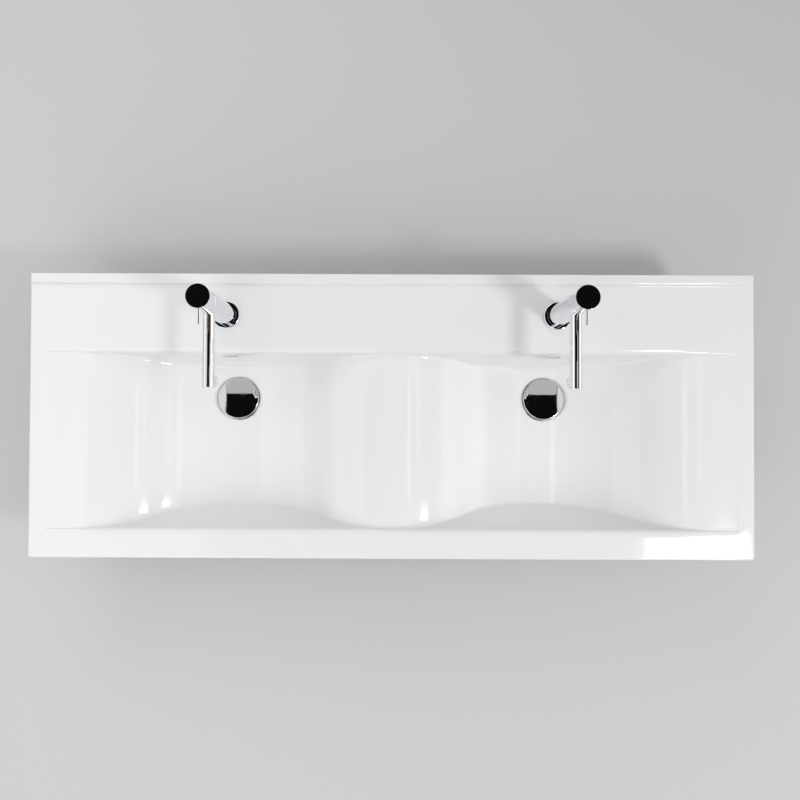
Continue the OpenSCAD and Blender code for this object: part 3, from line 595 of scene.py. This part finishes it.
skinHoles = {  # cutting rods: radius, start and length
    "dish": (39.0, 0, 5.0), "dishTop": 44.5, "recess": (35.0, -10, 15), "tap": (17.5, -10, 20),
    "overflow": (5.5, 108, 40), "overflowHalf": 13.0, "overflowZ": 25.0,
}


def overflowCutter(side):
    # the oval overflow hole, a rod whose two halves are moved apart
    x = wastePlace[side][0]
    obj = rodAlong("Y", *skinHoles["overflow"], (x, 0, skinHoles["overflowZ"]), verts=48)
    apart = skinHoles["overflowHalf"] - skinHoles["overflow"][0]
    for vert in obj.data.vertices:
        vert.co.x += math.copysign(apart * mm, vert.co.x - x * mm)
    return obj


skin = buildBasinSkin()
cutters = []
for side in sides:
    cutters.append(rodAlong("Z", *skinHoles["dish"], wastePlace[side], radius2=skinHoles["dishTop"],
                            verts=128))
    cutters.append(rodAlong("Z", *skinHoles["recess"], wastePlace[side], verts=128))
    cutters.append(rodAlong("Z", *skinHoles["tap"], tapPlace[side], verts=96))
    cutters.append(overflowCutter(side))
cutAway(skin, cutters)
finishPiece(skin, "basinGlaze", "basin_unit", whiteGlaze, angle=40, level=False)
print("basin skin:", len(skin.data.polygons), "faces")


# Taps, sizes in mm above the deck
baseRing = {"outer": 23.0, "inner": 17.55, "low": 1.0, "high": 7.0, "round": 1.5,
            "lip": 15.0, "lipHigh": 3.0, "footEdge": 0.3, "edge": 0.2}


def buildBaseRing(side, place):
    b = baseRing
    low, high, inner, e = b["low"], b["high"], b["inner"], b["edge"]
    profile = [(b["lip"], low), (b["outer"] - b["footEdge"], low), (b["outer"], low + b["footEdge"])]
    profile += arcPoints((b["outer"] - b["round"], high - b["round"]), b["round"], 0, 90, 10)
    profile += [(inner + e, high), (inner, high - e), (inner, b["lipHigh"]), (b["lip"], b["lipHigh"])]
    ring = turned(profile, place, steps=128)
    finishPiece(ring, side + "BaseRing", "basin_unit", polishedChrome,
                [side + "_base_ring"])


tapBody = {"radius": 17.5, "foot": 3.0, "top": 124.0, "bay": (12.55, 109.0), "nutBay": (15.0, 117.0),
           "edge": 0.4, "inlet": (4.5, 0, 15), "inletPlace": (6.5, 4),
           "stud": (4.05, 0, 18), "studBack": -9}


def buildBarrel(side, place):
    t = tapBody
    r, foot, top, e = t["radius"], t["foot"], t["top"], t["edge"]
    (bay, bayFloor), (nutBay, nutFloor) = t["bay"], t["nutBay"]
    profile = [(0, foot), (r, foot), (r, top - e), (r - e * 0.3, top - e * 0.3), (r - e, top),
               (nutBay, top), (nutBay, nutFloor), (bay, nutFloor), (bay, bayFloor), (0, bayFloor)]
    barrel = turned(profile, place, steps=128, closed=False)
    x, y, z = place
    apart, back = t["inletPlace"]
    sockets = [rodAlong("Z", *t["inlet"], (x + d * apart, y + back, z), verts=48) for d in (-1, 1)]
    sockets.append(rodAlong("Z", *t["stud"], (x, y + t["studBack"], z), verts=48))
    cutAway(barrel, sockets)
    finishPiece(barrel, side + "Barrel", "basin_unit", polishedChrome,
                [side + "_tap_body"])


collar = {"inner": 10.6, "outer": 17.5, "low": 124.0, "high": 125.4, "footEdge": 0.2, "edge": 0.25,
          "dome": 2.1, "ledge": 4, "slope": 1, "top": 0.6}


def buildCollar(side, place):
    c = collar
    inner, outer, low, high, dome = c["inner"], c["outer"], c["low"], c["high"], c["dome"]
    foot, e = c["footEdge"], c["edge"]
    profile = [(inner, low), (outer - foot, low), (outer, low + foot), (outer, high - e),
               (outer - e, high), (outer - c["ledge"], high),
               (outer - c["ledge"] - c["slope"], high + dome / 2),
               (inner + c["top"], high + dome), (inner, high + dome)]
    finishPiece(turned(profile, place, steps=128), side + "Collar", "basin_unit",
                polishedChrome, [side + "_collar"])


handle = {"radius": 17.5, "low": 126.0, "high": 155.0, "wall": 2.8, "roof": 4.0, "edge": 0.2,
          "roofEdge": 0.15, "footEdge": (0.2, 0.6), "tilt": 21.5, "wedge": (60, 30, 8),
          "screw": (2.5, -20, 8), "screwZ": 141}
lever = {"radius": 2.0, "z": 148.5, "start": 11.2, "end": 39.5, "round": 0.5}


def buildHandle(side, place):
    h = handle
    r, high, low, e = h["radius"], h["high"], h["low"], h["edge"]
    inner = r - h["wall"]
    near, far = h["footEdge"]
    profile = [(0, high), (r - e - h["roofEdge"], high)] + arcPoints((r - e, high - e), e, 90, 0, 5)
    profile += [(r, low + far), (r - near, low + near), (r - far, low), (inner, low),
                (inner, high - h["roof"]), (0, high - h["roof"])]
    cap = turned(profile, place, steps=128, closed=False)
    x, y, z = place
    # the rear of the rim is cut back so that the cap can tilt
    width, run, below = h["wedge"]
    bpy.ops.mesh.primitive_cube_add(size=width * mm, location=(0, 0, 0))
    wedge = bpy.context.object
    slope = math.tan(math.radians(h["tilt"]))
    for vert in wedge.data.vertices:
        rear, upper = vert.co.y > 0, vert.co.z > 0
        top = run * slope if rear else 0
        vert.co = (vert.co.x + x * mm, (y + (run if rear else 0)) * mm,
                   (z + low + (top if upper else -below)) * mm)
    cutAway(cap, [wedge, rodAlong("Y", *h["screw"], (x, y, z + h["screwZ"]), verts=40)])
    finishPiece(cap, side + "Handle", side + "_handle", polishedChrome,
                [side + "_handle_cap"])
    stalk = rodAlong("Y", lever["radius"], lever["start"], lever["end"] - lever["start"],
                     (x, y, z + lever["z"]), verts=48)
    roundEnd(stalk, "Y", y - lever["end"], lever["round"], 4)
    finishPiece(stalk, side + "Lever", side + "_handle", polishedChrome,
                [side + "_lever_pin"])


spout = {"radius": 9.0, "z": 99.0, "start": 12.5, "reach": 126.0, "edge": 0.9, "nozzle": 9.5,
         "nozzleY": 114.5, "nozzleLow": 87.0, "nozzleRound": 2.5, "seat": 8.0, "seatDepth": 6}


def buildSpout(side, place):
    s = spout
    x, y, z = place
    foot, low = (x, y - s["nozzleY"], z), s["nozzleLow"]
    tube = rodAlong("Y", s["radius"], s["start"], s["reach"] - s["start"], (x, y, z + s["z"]), verts=128)
    roundEnd(tube, "Y", y - s["reach"], s["edge"], 5)
    nozzle = rodAlong("Z", s["nozzle"], low, s["z"] - low, foot, verts=128)
    roundEnd(nozzle, "Z", z + s["z"], s["nozzleRound"], 6)
    cutAway(tube, [nozzle], "UNION")
    cutAway(tube, [rodAlong("Z", s["seat"], low - 2, s["seatDepth"] + 2, foot, verts=96)])
    finishPiece(tube, side + "Spout", "basin_unit", polishedChrome, [side + "_spout"])


aerator = {"radius": 9.5, "bore": 6.5, "low": 79.0, "high": 86.9, "edge": 0.3,
           "foot": ((1.2, 0), (0.5, 0.3), (0, 1)),  # steps (inwards, up) round the outlet's edge
           "neck": 7.9, "neckHeight": 6, "flat": 8.9, "spanner": (4, 30, 5), "spannerZ": 1.5}


def buildAerator(side, place):
    a = aerator
    x, y, z = place
    bore, r, low, high, e = a["bore"], a["radius"], a["low"], a["high"], a["edge"]
    seatY, neckTop = y - spout["nozzleY"], high + a["neckHeight"]
    profile = [(bore, low + e), (bore + e, low)] + [(r - inwards, low + up) for inwards, up in a["foot"]]
    profile += [(r, high - e), (r - e, high), (a["neck"], high), (a["neck"], neckTop), (bore, neckTop)]
    ring = turned(profile, (x, seatY, z), steps=96)
    # two flats for the spanner
    out, flatZ = a["flat"] + a["spanner"][0] / 2, z + low + a["spannerZ"]
    cutAway(ring, [blockAt(a["spanner"], (x + d * out, seatY, flatZ)) for d in (-1, 1)])
    finishPiece(ring, side + "Aerator", "basin_unit", polishedChrome,
                [side + "_aerator_shell"])


for side in sides:
    place = tapPlace[side]
    buildBaseRing(side, place)
    buildBarrel(side, place)
    buildCollar(side, place)
    buildHandle(side, place)
    buildSpout(side, place)
    buildAerator(side, place)
print("taps built")


# Plugs and wastes, sizes in mm above the bowl's floor
plug = {"radius": 36.0, "low": 1.5, "high": 6.5, "edge": 0.9, "crown": 0.12, "footEdge": 0.6,
        "spigot": 24.0, "spigotLow": -1.5, "spigotEdge": 0.4}


def buildPlug(side, place):
    p = plug
    r, low, high, e, crown, foot = p["radius"], p["low"], p["high"], p["edge"], p["crown"], p["footEdge"]
    spigot, bottom, small = p["spigot"], p["spigotLow"], p["spigotEdge"]
    profile = [(0, high), (r * 0.5, high - crown * 0.25), (r - e - 1, high - crown)]
    profile += arcPoints((r - e, high - crown - e), e, 90, 0, 8)
    profile += [(r, low + foot), (r - foot, low), (spigot, low), (spigot, bottom + small),
                (spigot - small, bottom), (0, bottom)]
    cap = turned(profile, place, steps=160, closed=False)
    finishPiece(cap, side + "PlugCap", side + "_plug_unit", mirrorChrome,
                [side + "_plug_cap"])


def threadRidge(root, crest, pitch, low, length, place, steps):
    # a closed tooth, wider at its root, wound up by the Screw modifier
    deselectAll()
    bpy.ops.mesh.primitive_plane_add(size=0.001, location=(0, 0, 0))
    obj = bpy.context.object
    halfRoot, halfCrest = pitch * 0.46, pitch * 0.08
    tooth = [(root, -halfRoot), (crest, -halfCrest), (crest, halfCrest), (root, halfRoot)]
    for vert, (r, z) in zip(sorted(obj.data.vertices, key=lambda v: math.atan2(v.co.y, v.co.x)), tooth):
        vert.co = (r * mm, 0, z * mm)
    turns = length / pitch
    count = round(steps * turns)
    applyModifier(obj, "SCREW", angle=2 * math.pi * turns, screw_offset=length * mm, steps=count,
                  render_steps=count, axis="Z", use_merge_vertices=True)
    obj.location = (place[0] * mm, place[1] * mm, (place[2] + low) * mm)
    makeActive(obj)
    bpy.ops.object.transform_apply(location=True, rotation=False, scale=False)
    pickAll(obj)
    bpy.ops.mesh.fill_holes(sides=4)  # the tooth's two ends
    bpy.ops.mesh.normals_make_consistent(inside=False)
    leaveEdit()
    return obj


waste = {"flange": 33.0, "flangeLow": -5.0, "throat": 18.5, "shank": 20.555, "seat": 3.4, "lip": 1.5,
         "edge": 0.3, "rim": ((0, 0.8), (0.25, 0.25), (0.8, 0), (2, 0)),  # steps (inwards, down)
         "thread": 20.955, "root": 19.5, "length": 92.0, "threaded": 34.0, "pitch": 2.309,
         "slot": (8, 12, 12), "slotRadius": 20.5, "slotZ": -22,
         "web": (38, 5, 4), "webZ": -42, "boss": (7, -44, 4), "bossBore": (3, -45, 6)}


def buildWaste(side, place):
    w = waste
    foot, top = -w["length"], -w["length"] + w["threaded"]
    throat, root, flange, under, e = w["throat"], w["root"], w["flange"], w["flangeLow"], w["edge"]
    profile = [(throat, foot), (root - 0.4, foot), (root, foot + 0.4), (root, top - e),
               (w["shank"], top + 0.6), (w["shank"], under), (flange - e, under), (flange, under + e)]
    profile += [(flange - inwards, -down) for inwards, down in w["rim"]]
    profile += [(throat + w["lip"], -w["seat"]), (throat, -w["seat"] - w["lip"])]
    tail = turned(profile, place, steps=128)
    x, y, z = place
    out = w["slotRadius"]
    cutAway(tail, [blockAt(w["slot"], (x + out * cosine(a), y + out * sine(a), z + w["slotZ"]), a)
                   for a in (45, 135, 225, 315)])
    web = blockAt(w["web"], (x, y, z + w["webZ"]))
    cutAway(web, [rodAlong("Z", *w["boss"], place, verts=64)], "UNION")
    cutAway(web, [rodAlong("Z", *w["bossBore"], place, verts=48)])
    cutAway(tail, [web], "UNION")
    finishPiece(tail, side + "Waste", "basin_unit", mirrorChrome,
                [side + "_waste_body"])
    # the ridge is sunk a little into the tail and stops short of both ends of the threaded part
    thread = threadRidge(root - 0.2, w["thread"], w["pitch"], foot + 1.2, w["threaded"] - 2.6, place,
                         steps=72)
    finishPiece(thread, side + "WasteThread", "basin_unit", mirrorChrome)


for side in sides:
    buildPlug(side, wastePlace[side])
    buildWaste(side, wastePlace[side])
print("wastes built")


# Floor and light, sizes in m but for the floor's height
studio = {"floor": -135.0, "floorColor": rgb(0.62, 0.62, 0.62), "roughness": 0.8, "size": 40.0,
          "fade": (1.0, 3.4), "backdropColor": rgb(0.55, 0.55, 0.55)}


def buildFloor():
    # far from the basin the floor fades into the backdrop, for the camera alone
    bpy.ops.mesh.primitive_plane_add(size=studio["size"], location=(0, 0, studio["floor"] * mm))
    floor = bpy.context.object
    floor.name = "studioFloor"
    look = bpy.data.materials.new("studioFloor")
    look.use_nodes = True
    tree = look.node_tree
    near = tree.nodes["Principled BSDF"]
    near.inputs["Base Color"].default_value = studio["floorColor"]
    near.inputs["Roughness"].default_value = studio["roughness"]
    point = addNode(tree, "ShaderNodeTexCoord").outputs["Object"]
    distance = addNode(tree, "ShaderNodeVectorMath", None, {0: point}, operation="LENGTH")
    fade = addNode(tree, "ShaderNodeMapRange",
                   {"From Min": studio["fade"][0], "From Max": studio["fade"][1]},
                   {"Value": distance.outputs["Value"]}, interpolation_type="SMOOTHSTEP")
    cameraRay = addNode(tree, "ShaderNodeLightPath").outputs["Is Camera Ray"]
    fadeSeen = addNode(tree, "ShaderNodeMath", None, {0: fade.outputs[0], 1: cameraRay},
                       operation="MULTIPLY")
    far = addNode(tree, "ShaderNodeEmission", {"Color": studio["backdropColor"]})
    sweep = addNode(tree, "ShaderNodeMixShader", None, {
        0: fadeSeen.outputs[0], 1: near.outputs[0], 2: far.outputs[0]})
    tree.links.new(sweep.outputs[0], tree.nodes["Material Output"].inputs["Surface"])
    floor.data.materials.append(look)


buildFloor()

lamps = {  # in m; "sight" is how bright a lamp looks from below
    "leftSoftbox": {"place": (-1.485, -0.25, 1.2), "size": (1.7, 2.2), "sight": 0.78, "flat": True},
    "rightStrip": {"place": (0.715, -0.2, 1.2), "size": (0.11, 0.5), "sight": 0.75, "flat": True},
    "humpStrip": {"place": (0.44, -0.3, 1.2), "size": (0.08, 0.5), "sight": 1.5, "flat": True},
    "frontSoftbox": {"place": (-0.7, -1.75, 1.3), "size": (1.6, 1.2), "sight": 1.6, "flat": False},
    "backSoftbox": {"place": (-0.7, 1.6, 1.3), "size": (1.6, 1.0), "sight": 1.9, "flat": False},
    "cornerSoftbox": {"place": (1.56, -1.04, 2.1), "size": (0.46, 0.5), "sight": 34.0, "flat": True},
    "leftCard": {"place": (-0.557, -0.04, 1.2), "size": (0.155, 0.18), "sight": 0.5, "flat": True},
    "rightCard": {"place": (0.582, -0.04, 1.2), "size": (0.15, 0.18), "sight": 0.5, "flat": True},
}
lampAim = (0.0, -0.235, 0.05)  # the middle of the rim, where lamps that don't hang flat point
for name, lamp in lamps.items():
    bpy.ops.object.light_add(type="AREA", location=lamp["place"])
    light = bpy.context.object
    light.name = name
    light.data.shape = "RECTANGLE"
    light.data.size, light.data.size_y = lamp["size"]
    light.data.energy = lamp["sight"] * math.pi * lamp["size"][0] * lamp["size"][1]
    if not lamp["flat"]:
        x, y, z = (a - b for a, b in zip(lamp["place"], lampAim))
        light.rotation_euler = (math.atan2(math.hypot(x, y), z), 0, math.atan2(x, -y))

room = {
    # what polished surfaces show at each height: pale walls, then a brown band, then a dark ceiling
    "tones": [(0.0, rgb(0.85, 0.85, 0.86)), (0.925, rgb(0.004, 0.004, 0.004)),
              (0.46, rgb(0.85, 0.85, 0.86)), (0.60, rgb(0.42, 0.40, 0.38)),
              (0.71, rgb(0.17, 0.085, 0.04)), (0.86, rgb(0.075, 0.027, 0.013))],
    "bright": rgb(1.7, 1.7, 1.72), "brightFrom": 0.77, "brightFull": 0.88,  # its wall on the right
    # what lights the rest: a soft glow, stronger overhead and on the right
    "glow": rgb(0.985, 0.99, 1.0), "rise": (0.12, 0.58), "lean": (0.2, 1.8),
}


def buildSky():
    world = bpy.data.worlds.new("studioWorld")
    bpy.context.scene.world = world
    world.use_nodes = True
    sky = world.node_tree
    sheen = sky.nodes["Background"]
    direction = addNode(sky, "ShaderNodeTexCoord").outputs["Generated"]
    split = addNode(sky, "ShaderNodeSeparateXYZ", None, {"Vector": direction})
    across, height = split.outputs["X"], split.outputs["Z"]
    ramp = addNode(sky, "ShaderNodeValToRGB", None, {"Fac": height})
    for i, (place, color) in enumerate(room["tones"]):  # a new ramp has its first two stops already
        stop = ramp.color_ramp.elements[i] if i < 2 else ramp.color_ramp.elements.new(place)
        stop.position = place
        stop.color = color
    rightSide = addNode(sky, "ShaderNodeMapRange",
                        {"From Min": room["brightFrom"], "From Max": room["brightFull"]},
                        {"Value": across}, interpolation_type="SMOOTHSTEP")
    reflected = addNode(sky, "ShaderNodeMix", {7: room["bright"]}, {
        "Factor": rightSide.outputs[0], 6: ramp.outputs["Color"]}, data_type="RGBA")
    sky.links.new(reflected.outputs[2], sheen.inputs["Color"])
    rise = addNode(sky, "ShaderNodeMapRange", {"From Min": 0.0, "From Max": 1.0,
                   "To Min": room["rise"][0], "To Max": room["rise"][1]}, {"Value": height})
    lean = addNode(sky, "ShaderNodeMapRange", {"From Min": -1.0, "From Max": 1.0,
                   "To Min": room["lean"][0], "To Max": room["lean"][1]}, {"Value": across})
    level = addNode(sky, "ShaderNodeMath", None, {0: rise.outputs[0], 1: lean.outputs[0]},
                    operation="MULTIPLY")
    glow = addNode(sky, "ShaderNodeBackground", {"Color": room["glow"]}, {"Strength": level.outputs[0]})
    backdrop = addNode(sky, "ShaderNodeBackground", {"Color": studio["backdropColor"]})
    rays = addNode(sky, "ShaderNodeLightPath")
    either = addNode(sky, "ShaderNodeMixShader", None, {
        0: rays.outputs["Is Glossy Ray"], 1: glow.outputs[0], 2: sheen.outputs[0]})
    seen = addNode(sky, "ShaderNodeMixShader", None, {
        0: rays.outputs["Is Camera Ray"], 1: either.outputs[0], 2: backdrop.outputs[0]})
    sky.links.new(seen.outputs[0], sky.nodes["World Output"].inputs["Surface"])


buildSky()
print("floor, lamps and sky placed")

bpy.context.scene.view_settings.view_transform = "Standard"

bpy.context.view_layer.update()
